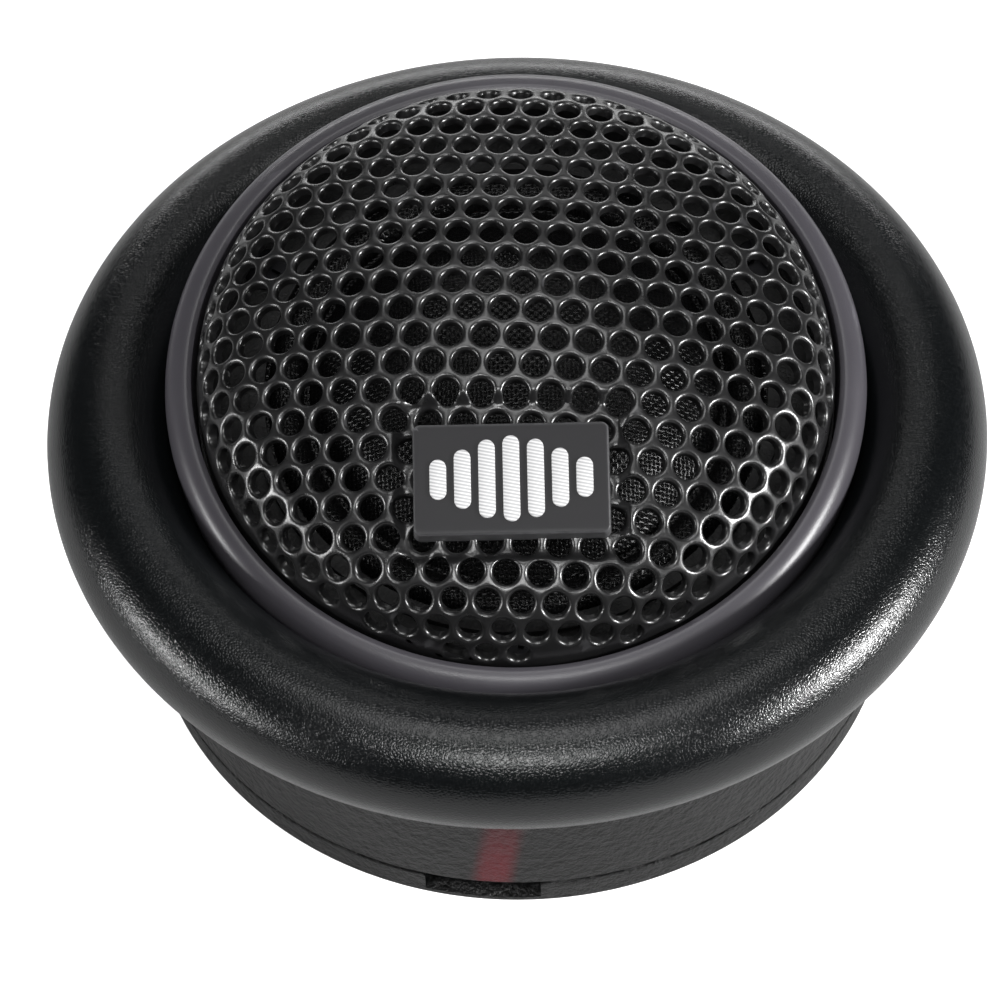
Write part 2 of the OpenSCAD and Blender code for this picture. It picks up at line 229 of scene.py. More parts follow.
def evenly(points, step):
    """The same open line with points a step apart."""
    line = np.array(points, float)
    spans = np.hypot(*np.diff(line, axis=0).T)
    line = line[np.append(True, spans > 1e-6)]
    travel = np.append(0, np.cumsum(spans[spans > 1e-6]))
    places = np.linspace(0, travel[-1], max(8, round(travel[-1] / step)))
    return np.column_stack([np.interp(places, travel, line[:, k]) for k in (0, 1)])


def softened(points, width, closed):
    """An outline with its corners rounded, by averaging it along its length over a width."""
    window = 7
    if closed:
        line = evenly(points + points[:1], width / window)[:-1]
        pad = np.vstack([line[-2 * window:], line, line[:2 * window]])
    else:
        line = evenly(points, width / window)
        mirror = np.array([-1, 1])
        before = line[1:2 * window + 1][::-1] * mirror
        after = line[-2 * window - 1:-1][::-1] * mirror
        pad = np.vstack([before, line, after])
    kernel = np.ones(window) / window
    for _ in range(2):
        pad = np.column_stack([np.convolve(pad[:, k], kernel, "same") for k in (0, 1)])
    soft = pad[2 * window:-2 * window]
    if not closed:
        soft[0, 0] = soft[-1, 0] = 0
    return thinned(soft)


def thinned(line, turn=math.radians(6), span=1.2):
    """Keeps the points where an outline has turned enough, or gone far enough, since the last one kept."""
    kept, turned = [line[0]], 0
    for before, here, after in zip(line, line[1:], line[2:]):
        a, b = here - before, after - here
        turned += abs(math.atan2(a[0] * b[1] - a[1] * b[0], a @ b))
        if turned > turn or np.hypot(*(here - kept[-1])) > span:
            kept.append(here)
            turned = 0
    kept.append(line[-1])
    return [tuple(p) for p in kept]


# ---- Meshes ----

def mesh(name, points, faces, place, sharp=35):
    """An object from points in mm in a frame. Edges sharper than an angle in degrees stay crisp."""
    data = bpy.data.meshes.new(name)
    data.from_pydata([tuple(place @ (Vector(p) * MM)) for p in points], [], faces)
    work = bmesh.new()
    work.from_mesh(data)
    bmesh.ops.recalc_face_normals(work, faces=work.faces)
    work.to_mesh(data)
    work.free()
    return shown(name, data, sharp)


def shown(name, data, sharp=35):
    """A smooth-shaded object in the scene that holds a mesh."""
    data.shade_smooth()
    data.set_sharp_from_angle(angle=math.radians(sharp))
    piece = bpy.data.objects.new(name, data)
    bpy.context.scene.collection.objects.link(piece)
    return piece


def lathe(name, outline, place, spin=SPIN):
    """A solid of revolution. Its outline is a closed loop, or it starts and ends on the axis."""
    points, rings = [], []
    for radius, height in outline:
        count = 1 if radius < 1e-4 else spin
        rings.append(range(len(points), len(points) + count))
        for i in range(count):
            turn = 2 * math.pi * i / spin
            points.append((radius * math.cos(turn), radius * math.sin(turn), height))
    on_axis = len(rings[0]) == 1
    pairs = list(zip(rings, rings[1:] if on_axis else rings[1:] + rings[:1]))
    faces = [face for lower, upper in pairs for face in strip(lower, upper, spin)]
    return mesh(name, points, faces, place)


def strip(lower, upper, spin):
    """Faces between two rings of points, either of which may be a single point on the axis."""
    faces = []
    for i in range(spin):
        corners = [
            lower[i % len(lower)],
            lower[(i + 1) % len(lower)],
            upper[(i + 1) % len(upper)],
            upper[i % len(upper)],
        ]
        face = list(dict.fromkeys(corners))
        if len(face) > 2:
            faces.append(face)
    return faces


def post(outline, x=0, y=0):
    """A turned solid to cut or join with, standing at a place in the row frame."""
    return lathe("cutter", outline, Matrix.Translation((x * MM, y * MM, 0)), POST_SPIN)


def on_circle(radius, turns):
    """Places on a circle, at angles in degrees."""
    return [(radius * math.cos(math.radians(t)), radius * math.sin(math.radians(t))) for t in turns]


def block(low, high, turn=0):
    """A plain box to cut or join with, in the row frame turned about Z by an angle in degrees."""
    corners = [(x, y, z) for x in (low[0], high[0]) for y in (low[1], high[1]) for z in (low[2], high[2])]
    faces = [(0, 1, 3, 2), (4, 6, 7, 5), (0, 4, 5, 1), (2, 3, 7, 6), (0, 2, 6, 4), (1, 5, 7, 3)]
    return mesh("cutter", corners, faces, Matrix.Rotation(math.radians(turn), 4, "Z"))


def combined(piece, others, operation):
    """Cuts other solids out of a piece, or joins them to it, and removes them."""
    for other in others:
        step = piece.modifiers.new("step", "BOOLEAN")
        step.operation = operation
        step.object = other
        step.solver = "EXACT"
    graph = bpy.context.evaluated_depsgraph_get()
    data = bpy.data.meshes.new_from_object(piece.evaluated_get(graph))
    name = piece.name
    for used in [piece, *others]:
        bpy.data.objects.remove(used)
    return shown(name, data)


def finished(piece, body, material, slot, *nodes):
    """Puts the material on a new piece, ties the piece to its CAD body and hides the CAD nodes it stands
    for. slot is not used.
    """
    piece.data.materials.clear()
    piece.data.materials.append(material)
    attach(piece, body)
    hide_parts(*nodes)
    return piece


# ---- Materials ----

class Finish:
    """A procedural material: one Principled shader and the nodes wired to it, in object coordinates."""

    def __init__(self, name, in_head=False, **shader):
        self.material = bpy.data.materials.new(name)
        self.material.use_nodes = True
        self.tree = self.material.node_tree
        self.shader = self.tree.nodes["Principled BSDF"]
        for socket, value in shader.items():
            self.shader.inputs[socket.replace("_", " ")].default_value = value
        self.at = self.add("ShaderNodeTexCoord").outputs["Object"]
        if in_head:
            self.at = self.add(
                "ShaderNodeMapping",
                {"Vector": self.at, "Location": PIVOT, "Rotation": (HEAD_LEAN, 0, 0)},
                vector_type="TEXTURE",
            ).outputs[0]

    def add(self, kind, inputs=None, **settings):
        """A node with its settings, and with its inputs linked or set."""
        node = self.tree.nodes.new(kind)
        for key, value in settings.items():
            setattr(node, key, value)
        for socket, value in (inputs or {}).items():
            self.put(node.inputs[socket], value)
        return node

    def put(self, socket, value):
        if isinstance(value, bpy.types.NodeSocket):
            self.tree.links.new(value, socket)
        else:
            socket.default_value = value

    def math(self, operation, *values):
        return self.add("ShaderNodeMath", dict(enumerate(values)), operation=operation).outputs[0]

    def vector(self, operation, inputs):
        return self.add("ShaderNodeVectorMath", inputs, operation=operation).outputs[0]

    def noise(self, size, detail=2, spread=0.5):
        """Noise whose blobs are about a size in mm, from 0 to 1."""
        inputs = {"Vector": self.at, "Scale": 1 / (size * MM), "Detail": detail, "Roughness": spread}
        return self.add("ShaderNodeTexNoise", inputs).outputs[0]

    def shifted(self, amount, size):
        """The coordinates pushed about by noise, by up to an amount in mm."""
        inputs = {"Vector": self.at, "Scale": 1 / (size * MM), "Detail": 2}
        push = self.add("ShaderNodeTexNoise", inputs).outputs[1]
        centred = self.vector("SUBTRACT", {0: push, 1: (0.5, 0.5, 0.5)})
        scaled = self.vector("SCALE", {0: centred, "Scale": 2 * amount * MM})
        return self.vector("ADD", {0: self.at, 1: scaled})

    def pebbles(self, size, at):
        """Height of a leather grain, whose pebbles are about a size in mm, from 0 in the creases to 1."""
        inputs = {"Vector": at, "Scale": 1 / (size * MM), "Randomness": 1}
        edge = self.add("ShaderNodeTexVoronoi", inputs, feature="DISTANCE_TO_EDGE").outputs["Distance"]
        return self.smooth(edge, 0, 0.32)

    def smooth(self, value, low, high, to_low=0, to_high=1):
        """A value eased from one range to another."""
        inputs = {"Value": value, "From Min": low, "From Max": high, "To Min": to_low, "To Max": to_high}
        return self.add("ShaderNodeMapRange", inputs, interpolation_type="SMOOTHSTEP").outputs[0]

    def scale(self, value, low, high):
        """A value from 0 to 1, stretched to a range."""
        inputs = {"Value": value, "To Min": low, "To Max": high}
        return self.add("ShaderNodeMapRange", inputs).outputs[0]

    def blend(self, share, a, b):
        """A colour mixed from a towards b."""
        node = self.add("ShaderNodeMix", data_type="RGBA")
        self.put(node.inputs["Factor"], share)
        for socket, value in ((node.inputs[6], a), (node.inputs[7], b)):
            self.put(socket, value if isinstance(value, bpy.types.NodeSocket) else (*value, 1))
        return node.outputs[2]

    def edges(self, low=0.52, high=0.62):
        """Share of the outward corners of the shape, where wear goes and, on some finishes, a painted edge
        highlight.
        """
        corner = self.add("ShaderNodeNewGeometry").outputs["Pointiness"]
        return self.smooth(corner, low, high)

    def xyz(self):
        return self.add("ShaderNodeSeparateXYZ", {"Vector": self.at}).outputs

    def colour(self, value):
        self.put(self.shader.inputs["Base Color"], value)

    def roughness(self, value):
        self.put(self.shader.inputs["Roughness"], value)

    def relief(self, *layers):
        """Stacks bumps, each a height from 0 to 1 with its depth in mm."""
        normal = None
        for height, depth in layers:
            inputs = {"Height": height, "Distance": depth * MM, "Strength": 1}
            if normal is not None:
                inputs["Normal"] = normal
            normal = self.add("ShaderNodeBump", inputs).outputs[0]
        self.put(self.shader.inputs["Normal"], normal)


def grained_plastic(name, dark, light, gloss, grain, depth, in_head=False, wear=0.25, **shader):
    """Moulded plastic with a leather grain, its creases painted darker than its pebbles as painted shade.
    dark is the painted crease shade, light the top of the pebbles.
    """
    finish = Finish(name, in_head, **shader)
    height = finish.pebbles(grain, finish.shifted(grain * 0.35, grain * 1.6))
    fine = finish.noise(grain * 0.35, 3)
    patches = finish.noise(9, 3)
    # The colour follows the grain's height, so the creases carry painted shade; the patches are the
    # plastic's own uneven tone.
    base = finish.blend(finish.math("MULTIPLY", height, finish.scale(patches, 0.7, 1.2)), dark, light)
    wear_and_edge_glint = finish.math("MULTIPLY", finish.edges(), finish.scale(finish.noise(0.8, 3), 0, wear * 2))
    finish.colour(finish.blend(wear_and_edge_glint, base, tuple(c * 2.6 for c in light)))
    broad = finish.scale(patches, gloss - 0.05, gloss + 0.05)
    finish.roughness(finish.math("ADD", broad, finish.scale(fine, -0.04, 0.04)))
    finish.relief((height, depth), (fine, depth * 0.25))
    return finish.material


def metal(name, colour, gloss, lay=0.12, **shader):
    """Plated or machined metal, with fine scratches and a soft variation in colour."""
    finish = Finish(name, Metallic=1, **shader)
    cloud = finish.noise(2.5, 4)
    finish.colour(finish.blend(cloud, tuple(c * 0.75 for c in colour), colour))
    turned = finish.noise(lay, 2)
    finish.roughness(finish.scale(finish.noise(0.6, 4), gloss - 0.08, gloss + 0.12))
    finish.relief((turned, 0.004))
    return finish.material


def ring_plastic():
    # dark is painted shade for the grain's creases, light the pebbles' own colour.
    dark, light = (0.0026, 0.0032, 0.0036), (0.0056, 0.0066, 0.0072)
    return grained_plastic("ring_plastic", dark, light, 0.24, 0.18, 0.0075)


def shell_plastic():
    return grained_plastic("shell_plastic", (0.012, 0.012, 0.013), (0.024, 0.024, 0.026), 0.5, 0.5, 0.012)


def plate_plastic():
    return grained_plastic("plate_plastic", (0.003, 0.003, 0.003), (0.007, 0.007, 0.0075), 0.55, 0.3, 0.015)


def cradle_plastic():
    return grained_plastic("cradle_plastic", (0.018, 0.018, 0.019), (0.034, 0.034, 0.036), 0.42, 0.6, 0.008)


def cup_plastic():
    """Spark-eroded wall with a soft-edged red polarity stripe low on the near side."""
    finish = Finish("cup_plastic", Specular_IOR_Level=0.4)
    pits = finish.noise(0.6, 4, spread=0.65)
    fine = finish.noise(0.12, 2)
    patches = finish.noise(7, 3)
    # The erosion's hollows are painted darker than its tops: painted shade, from the same noise as the
    # relief.
    plain = finish.blend(finish.smooth(pits, 0.3, 0.7), (0.0006, 0.0006, 0.0006), (0.009, 0.009, 0.0093))
    x, y, z = finish.xyz()
    middle = finish.math("MULTIPLY_ADD", z, STRIPE_LEAN, STRIPE_X * MM)
    aside = finish.math("ABSOLUTE", finish.math("SUBTRACT", x, middle))
    stripe = finish.smooth(aside, STRIPE_W * 0.6 * MM, STRIPE_W * 0.2 * MM)
    near = finish.math("LESS_THAN", y, 0)
    low = finish.smooth(z, STRIPE_FAINT_Z * MM, STRIPE_FULL_Z * MM, 0.25, 1)
    on_cup = finish.smooth(z, STRIPE_FOOT_Z * MM, (STRIPE_FOOT_Z + STRIPE_FOOT_SOFT) * MM)
    one_side = finish.math("MULTIPLY", stripe, near)
    share = finish.math("MULTIPLY", one_side, finish.math("MULTIPLY", low, on_cup))
    finish.colour(finish.blend(share, plain, (0.11, 0.0015, 0.008)))
    finish.roughness(finish.scale(patches, 0.34, 0.44))
    finish.relief((pits, 0.4), (fine, 0.01))
    return finish.material


def bezel_plastic():
    """Smooth satin moulding with a faint flow pattern and a polished edge, which is painted paler: wear and
    a painted edge highlight.
    """
    finish = Finish("bezel_plastic", in_head=True)
    fine = finish.noise(0.10, 3)
    patches = finish.noise(6, 4)
    # Paler, glossier edges: part wear, part painted edge highlight.
    wear_and_edge_glint = finish.math("MULTIPLY", finish.edges(0.51, 0.56), finish.scale(finish.noise(0.7, 3), 0.2, 0.6))
    base = finish.blend(patches, (0.050, 0.0475, 0.055), (0.067, 0.063, 0.073))
    finish.colour(finish.blend(wear_and_edge_glint, base, (0.11, 0.105, 0.12)))
    satin = finish.scale(patches, 0.30, 0.38)
    finish.roughness(finish.math("SUBTRACT", satin, finish.scale(wear_and_edge_glint, 0, 0.06)))
    finish.relief((fine, 0.006), (finish.noise(0.5, 2), 0.004))
    return finish.material


def grille_paint():
    """Black powder coat on steel: a slight orange peel, thinner on the lips of the holes, where they are
    painted paler: worn coat and painted highlight.
    """
    finish = Finish("grille_paint", in_head=True, Specular_IOR_Level=0.9)
    peel = finish.noise(0.35, 3)
    patches = finish.noise(5, 3)
    # The paler lips are partly a painted highlight round each hole, partly thinned coat.
    wear_and_edge_glint = finish.math("MULTIPLY", finish.edges(0.53, 0.66), finish.scale(finish.noise(0.6, 3), 0.1, 0.6))
    base = finish.blend(patches, (0.007, 0.007, 0.0073), (0.013, 0.013, 0.0134))
    finish.colour(finish.blend(wear_and_edge_glint, base, (0.10, 0.10, 0.105)))
    finish.roughness(finish.math("ADD", finish.scale(patches, 0.25, 0.33), finish.scale(peel, -0.04, 0.05)))
    finish.relief((peel, 0.014), (finish.noise(0.12, 2), 0.004))
    return finish.material


def badge_plastic():
    """Dark satin plate, moulded smooth, with its edges painted paler: a painted edge highlight with a
    little wear.
    """
    finish = Finish("badge_plastic", in_head=True, Specular_IOR_Level=0.28)
    fine = finish.noise(0.08, 3)
    patches = finish.noise(3, 3)
    # Paler edges: a painted edge highlight, with a little wear.
    wear_and_edge_glint = finish.math("MULTIPLY", finish.edges(0.505, 0.55), finish.scale(finish.noise(0.5, 3), 0.3, 0.9))
    base = finish.blend(patches, (0.0095, 0.0092, 0.0106), (0.0125, 0.012, 0.0138))
    finish.colour(finish.blend(wear_and_edge_glint, base, (0.14, 0.14, 0.145)))
    finish.roughness(finish.math("ADD", finish.scale(patches, 0.38, 0.44), finish.scale(fine, -0.03, 0.03)))
    finish.relief((fine, 0.002))
    return finish.material


def emblem_print():
    """White print with a fine hatching, nearly level."""
    finish = Finish("emblem_print", in_head=True)
    x, y, _ = finish.xyz()
    slanting = finish.math("MULTIPLY_ADD", x, 0.2, y)
    phase = finish.math("MULTIPLY", slanting, 2 * math.pi / (HATCH_PITCH * MM))
    lines = finish.smooth(finish.math("SINE", phase), -0.6, 0.6)
    speckle = finish.noise(0.2, 3)
    white = finish.blend(speckle, (0.70, 0.70, 0.70), (0.80, 0.80, 0.80))
    finish.colour(finish.blend(lines, (0.46, 0.46, 0.47), white))
    finish.roughness(finish.scale(speckle, 0.4, 0.5))
    finish.relief((lines, 0.006), (speckle, 0.002))
    return finish.material


def woven(name, dark, light, thread, depth, in_head=False, **shader):
    """A plain weave, the gaps between its threads painted darker than the threads' tops as painted shade.
    thread is the spacing of its threads in mm.
    """
    finish = Finish(name, in_head, **shader)
    x, y, _ = finish.xyz()
    across = finish.math("MULTIPLY", x, math.pi / (thread * MM))
    along = finish.math("MULTIPLY", y, math.pi / (thread * MM))
    warp = finish.math("ABSOLUTE", finish.math("SINE", across))
    weft = finish.math("ABSOLUTE", finish.math("SINE", along))
    parity = finish.math("MULTIPLY", finish.math("COSINE", across), finish.math("COSINE", along))
    over = finish.smooth(parity, -0.4, 0.4)
    height = finish.math(
        "ADD",
        finish.math("MULTIPLY", warp, over),
        finish.math("MULTIPLY", weft, finish.math("SUBTRACT", 1, over)),
    )
    fibre = finish.noise(thread * 0.25, 3)
    patches = finish.noise(4, 3)
    # Colour follows the weave's height: painted shade in the gaps, with the patches as the cloth's own
    # uneven tone.
    shade = finish.math("MULTIPLY", height, finish.scale(patches, 0.6, 1.1))
    finish.colour(finish.blend(shade, dark, light))
    finish.roughness(finish.scale(fibre, 0.2, 0.34))
    finish.relief((height, depth), (fibre, depth * 0.15))
    return finish.material


def silk():
    return woven(
        "silk", (0.0005, 0.0005, 0.0005), (0.008, 0.008, 0.0084), 0.26, 0.035, True,
        Specular_IOR_Level=0.28,
    )


def board():
    return woven("board", (0.16, 0.09, 0.04), (0.24, 0.15, 0.07), 0.5, 0.006)


def rubber():
    finish = Finish("rubber")
    bloom = finish.noise(1.2, 4)
    fine = finish.noise(0.15, 3)
    finish.colour(finish.blend(bloom, (0.012, 0.012, 0.012), (0.030, 0.030, 0.031)))
    finish.roughness(finish.scale(bloom, 0.62, 0.78))
    finish.relief((fine, 0.01))
    return finish.material


def felt():
    finish = Finish("felt", Sheen_Weight=0.5, Sheen_Roughness=0.5)
    fibres = finish.noise(0.25, 6, spread=0.7)
    clumps = finish.noise(1.1, 4)
    finish.colour(finish.blend(fibres, (0.055, 0.045, 0.034), (0.17, 0.145, 0.11)))
    finish.roughness(finish.scale(clumps, 0.85, 0.98))
    finish.relief((clumps, 0.12), (fibres, 0.08))
    return finish.material


def former_film():
    finish = Finish("former_film", Coat_Weight=0.4, Coat_Roughness=0.2)
    streaks = finish.noise(0.9, 3)
    finish.colour(finish.blend(streaks, (0.30, 0.17, 0.04), (0.48, 0.30, 0.09)))
    finish.roughness(finish.scale(streaks, 0.25, 0.4))
    finish.relief((finish.noise(0.2, 3), 0.003))
    return finish.material


def copper_wire():
    """Enamelled wire, with the ridge of each turn raised and painted lighter than the grooves: painted
    highlight and shade.
    """
    finish = Finish("copper_wire", in_head=True, Metallic=0.9, Coat_Weight=0.5, Coat_Roughness=0.15)
    _, _, z = finish.xyz()
    phase = finish.math("MULTIPLY", z, math.pi / (COIL_PITCH * MM))
    turns = finish.math("ABSOLUTE", finish.math("SINE", phase))
    cloud = finish.noise(1, 3)
    # Ridges painted lighter and grooves darker: painted highlight and shade, varied by the cloud's tone.
    painted_ridge_light = finish.math("MULTIPLY", turns, cloud)
    finish.colour(finish.blend(painted_ridge_light, (0.25, 0.09, 0.04), (0.80, 0.33, 0.15)))
    finish.roughness(finish.scale(cloud, 0.25, 0.38))
    finish.relief((turns, 0.05))
    return finish.material


def capacitor_resin():
    finish = Finish("capacitor_resin", Coat_Weight=0.5, Coat_Roughness=0.12)
    dip = finish.noise(1.6, 3)
    finish.colour(finish.blend(dip, (0.30, 0.035, 0.012), (0.44, 0.065, 0.022)))
    finish.roughness(finish.scale(dip, 0.22, 0.36))
    finish.relief((dip, 0.04), (finish.noise(0.2, 2), 0.004))
    return finish.material


def steel_zinc():
    return metal("steel_zinc", (0.62, 0.63, 0.65), 0.34)


def steel_black():
    return metal("steel_black", (0.035, 0.035, 0.038), 0.42)


def neodymium():
    return metal("neodymium", (0.74, 0.73, 0.70), 0.18, 0.3)


def brass_tab():
    return metal("brass_tab", (0.78, 0.57, 0.24), 0.28)


# ---- Base ----

def trim_ring():
    """The big rounded ring, whose inner side falls to a valley round the ball."""
    outer = reach("trim_ring", ROW)
    bulge_h = (outer[3] - outer[2]) / 2
    mid = (CREST_R, outer[3] - bulge_h)
    shift = outer[1] - CREST_R - RING_SIDE_R
    arc_shift = (shift * shift - (bulge_h - RING_SIDE_R) ** 2) / (2 * (bulge_h - RING_SIDE_R))
    turn = math.degrees(math.atan2(arc_shift, shift))
    ball = (0, PIVOT_Z)
    valley_top = crossing(mid, bulge_h, ball, BALL_R + VALLEY_GAP, True)
    seat_r = BALL_R + LIP_GAP
    rebate_r = reach("mounting_cup", ROW)[1] + REBATE_GAP
    valley_foot = (math.sqrt((BALL_R + VALLEY_GAP) ** 2 - (PIVOT_Z - LIP_Z) ** 2), LIP_Z)
    foot = (rebate_r, mid[1] - math.sqrt(bulge_h ** 2 - (CREST_R - rebate_r) ** 2))
    outline = [
        *arc((mid[0], mid[1] + arc_shift), bulge_h + arc_shift, -90, -turn),
        *arc((mid[0] + shift, mid[1]), RING_SIDE_R, -turn, turn),
        *arc((mid[0], mid[1] - arc_shift), bulge_h + arc_shift, turn, 90),
        *arc(mid, bulge_h, 90, bearing(mid, valley_top) % 360),
        *arc(ball, BALL_R + VALLEY_GAP, bearing(ball, valley_top), bearing(ball, valley_foot)),
        (math.sqrt(seat_r ** 2 - (PIVOT_Z - LIP_Z) ** 2), LIP_Z),
        (math.sqrt(seat_r ** 2 - (PIVOT_Z - LIP_Z + LIP_H) ** 2), LIP_Z - LIP_H),
        (rebate_r, LIP_Z - LIP_H),
        foot,
    ]
    piece = lathe("trim_ring", softened(outline, RING_EDGE, True), ROW)
    return finished(piece, "base", RING, "ring_plastic", "trim_ring")


def mounting_cup():
    """The cup's wall, with the ledge that the cradle hangs on, its screw bosses and the stop rib."""
    _, outer_r, foot, top = reach("mounting_cup", ROW)
    outline = [
        (CUP_BORE, foot),
        (outer_r, foot),
        (outer_r, top),
        (FLANGE_BORE, top),
        (FLANGE_BORE, LEDGE_Z),
        (CUP_BORE, LEDGE_Z),
    ]
    piece = lathe("mounting_cup", softened(outline, EDGE, True), ROW)
    boss_foot, half, in_wall = foot + BOSS_FOOT_GAP, STOP_W / 2, CUP_BORE + INTO_WALL
    boss = [(0, boss_foot), (BOSS_R, boss_foot), (BOSS_R, BOSS_TOP), (0, BOSS_TOP)]
    boss = softened(boss, FINE_EDGE, False)
    bosses = [post(boss, *at) for at in on_circle(BOSS_RING_R, BOSS_TURNS)]
    webs = [
        block((BOSS_RING_R, -half, boss_foot), (in_wall, half, BOSS_TOP - WEB_DROP), turn)
        for turn in BOSS_TURNS
    ]
    rib = block((-half, CUP_BORE - STOP_DEPTH, STOP_FOOT), (half, in_wall, STOP_TOP))
    piece = combined(piece, [*bosses, *webs, rib], "UNION")
    under, bore_top = foot - PAST, BOSS_TOP - BORE_SHORT
    bore = [(0, under), (SCREW_R, under), (SCREW_R, bore_top), (0, bore_top)]
    piece = combined(piece, [post(bore, *at) for at in on_circle(BOSS_RING_R, BOSS_TURNS)], "DIFFERENCE")
    return finished(piece, "base", CUP, "cup_plastic", "mounting_cup")


def base_plate():
    """The disc under the shadow groove, with its cable channel and its countersunk holes."""
    _, outer_r, _, top = reach("base_plate", ROW)
    outline = [
        (0, 0),
        (outer_r, 0),
        (outer_r, PLATE_H),
        (outer_r - NECK_INSET, PLATE_H),
        (outer_r - NECK_INSET, top),
        (WELL_R, top),
        (WELL_R, WELL_Z),
        (0, WELL_Z),
    ]
    piece = lathe("base_plate", softened(outline, EDGE, False), ROW)
    under, over = -PAST, top + PAST
    channel = block(
        (NOTCH_X - NOTCH_W / 2, -outer_r - PAST, NOTCH_FLOOR), (NOTCH_X + NOTCH_W / 2, -NOTCH_INNER, over)
    )
    cone = PANEL_HEAD_R - PANEL_HOLE_R
    panel_hole = [
        (0, under),
        (PANEL_HOLE_R, under),
        (PANEL_HOLE_R, top - cone),
        (PANEL_HEAD_R + PAST, over),
        (0, over),
    ]
    screw_r, head_r = SCREW_R + HOLE_GAP, SCREW_HEAD_R + HOLE_GAP
    screw_hole = [
        (0, under),
        (head_r + PAST, under),
        (screw_r, head_r - screw_r),
        (screw_r, over),
        (0, over),
    ]
    holes = [post(panel_hole, side * PANEL_HOLE_X) for side in (-1, 1)]
    holes += [post(screw_hole, *at) for at in on_circle(BOSS_RING_R, BOSS_TURNS)]
    piece = combined(piece, [channel, *holes], "DIFFERENCE")
    return finished(piece, "base", CUP, "cup_plastic", "base_plate")


# ---- Head ----

def bezel():
    """The satin front ring: its side is part of the ball, and a roll rounds its front."""
    bore, _, low, rim = reach("bezel", HEAD)
    bead = (math.sqrt((BALL_R - BEAD_R) ** 2 - (rim - BEAD_R) ** 2), rim - BEAD_R)
    turn = bearing((0, 0), bead)
    foot = (math.sqrt(BALL_R ** 2 - low ** 2), low)
    outline = [
        (bore, low),
        (bore, rim - RIM_DROP),
        *arc(bead, BEAD_R, 90, turn),
        *arc((0, 0), BALL_R, turn, bearing((0, 0), foot)),
    ]
    piece = lathe("bezel", softened(outline, EDGE, True), HEAD)
    return finished(piece, "head", BEZEL, "bezel_plastic", "bezel")


def sheet_heights():
    """Heights of the crown's centre and the shoulder's, then the flat radii where crown, shoulder and skirt
    end."""
    apex = reach("grille", HEAD)[3]
    crown = apex - CROWN_R
    shoulder = crown + (CROWN_R - SHOULDER_R) * math.cos(CROWN_TURN)
    crown_end = CROWN_R * CROWN_TURN
    shoulder_end = crown_end + SHOULDER_R * (math.pi / 2 - CROWN_TURN)
    return crown, shoulder, crown_end, shoulder_end, shoulder_end + shoulder - reach("grille", HEAD)[2]


CROWN_H, SHOULDER_H, CROWN_END, SHOULDER_END, SKIRT_END = sheet_heights()


def on_sheet(flat, depth):
    """Points of the grille sheet from their places on the flat blank, at a depth under its outer face."""
    rho = np.hypot(flat[:, 0], flat[:, 1])
    on_crown = rho < CROWN_END
    past = np.clip(rho - CROWN_END, 0, SHOULDER_END - CROWN_END)
    turn = np.where(on_crown, rho / CROWN_R, CROWN_TURN + past / SHOULDER_R)
    curve_r = np.where(on_crown, CROWN_R, SHOULDER_R) - depth
    centre_r = np.where(on_crown, 0, (CROWN_R - SHOULDER_R) * math.sin(CROWN_TURN))
    centre_h = np.where(on_crown, CROWN_H, SHOULDER_H)
    radius = centre_r + curve_r * np.sin(turn)
    height = centre_h + curve_r * np.cos(turn) - np.maximum(rho - SHOULDER_END, 0)
    way = flat / np.maximum(rho, 1e-9)[:, None]
    return np.column_stack([way * radius[:, None], height])


def pressed(flat):
    """How far the pocket round the badge is pressed in, at places on the flat blank."""
    across = np.abs(flat[:, 0] - BADGE_X) - POCKET_W / 2 + POCKET_CORNER
    along = np.abs(flat[:, 1] + BADGE_ARC - POCKET_SHIFT) - POCKET_L / 2 + POCKET_CORNER
    beyond = np.hypot(np.maximum(across, 0), np.maximum(along, 0))
    outside = beyond + np.minimum(np.maximum(across, along), 0) - POCKET_CORNER
    share = np.clip(0.5 - outside / POCKET_SLOPE, 0, 1)
    return POCKET_DEPTH * share * share * (3 - 2 * share)


def hexagon(centre, steps=4):
    """Points along a hole's hexagonal cell on the blank, shared with the cells beside it."""
    corner_r = HOLE_PITCH / math.sqrt(3)
    turns = [HOLE_TURN + math.pi * (k / 3 + 1 / 6) for k in range(6)]
    corners = [(centre[0] + corner_r * math.cos(t), centre[1] + corner_r * math.sin(t)) for t in turns]
    return [
        tuple(a[i] + (b[i] - a[i]) * s / steps for i in (0, 1))
        for a, b in zip(corners, corners[1:] + corners[:1])
        for s in range(steps)
    ]


def hole_ring(centre, radius, cell):
    """Points round a hole, at the angles of its cell's points."""
    ring = []
    for point in cell:
        turn = math.atan2(point[1] - centre[1], point[0] - centre[0])
        ring.append((centre[0] + radius * math.cos(turn), centre[1] + radius * math.sin(turn)))
    return ring


class Blank:
    """The flat grille sheet: points with a place and a depth, and faces. Points at one place are shared."""

    def __init__(self):
        self.flat, self.depth, self.faces, self.known = [], [], [], {}

    def point(self, place, depth):
        key = (*rounded(place), round(depth, 3))
        if key not in self.known:
            self.known[key] = len(self.flat)
            self.flat.append(place)
            self.depth.append(depth)
        return self.known[key]

    def ring(self, places, depth):
        return [self.point(place, depth) for place in places]

    def join(self, a, b):
        for i in range(len(a)):
            j = (i + 1) % len(a)
            self.faces.append((a[i], a[j], b[j], b[i]))

    def cap(self, ring, centre, depth):
        middle = self.point(centre, depth)
        for i in range(len(ring)):
            self.faces.append((ring[i], ring[(i + 1) % len(ring)], middle))


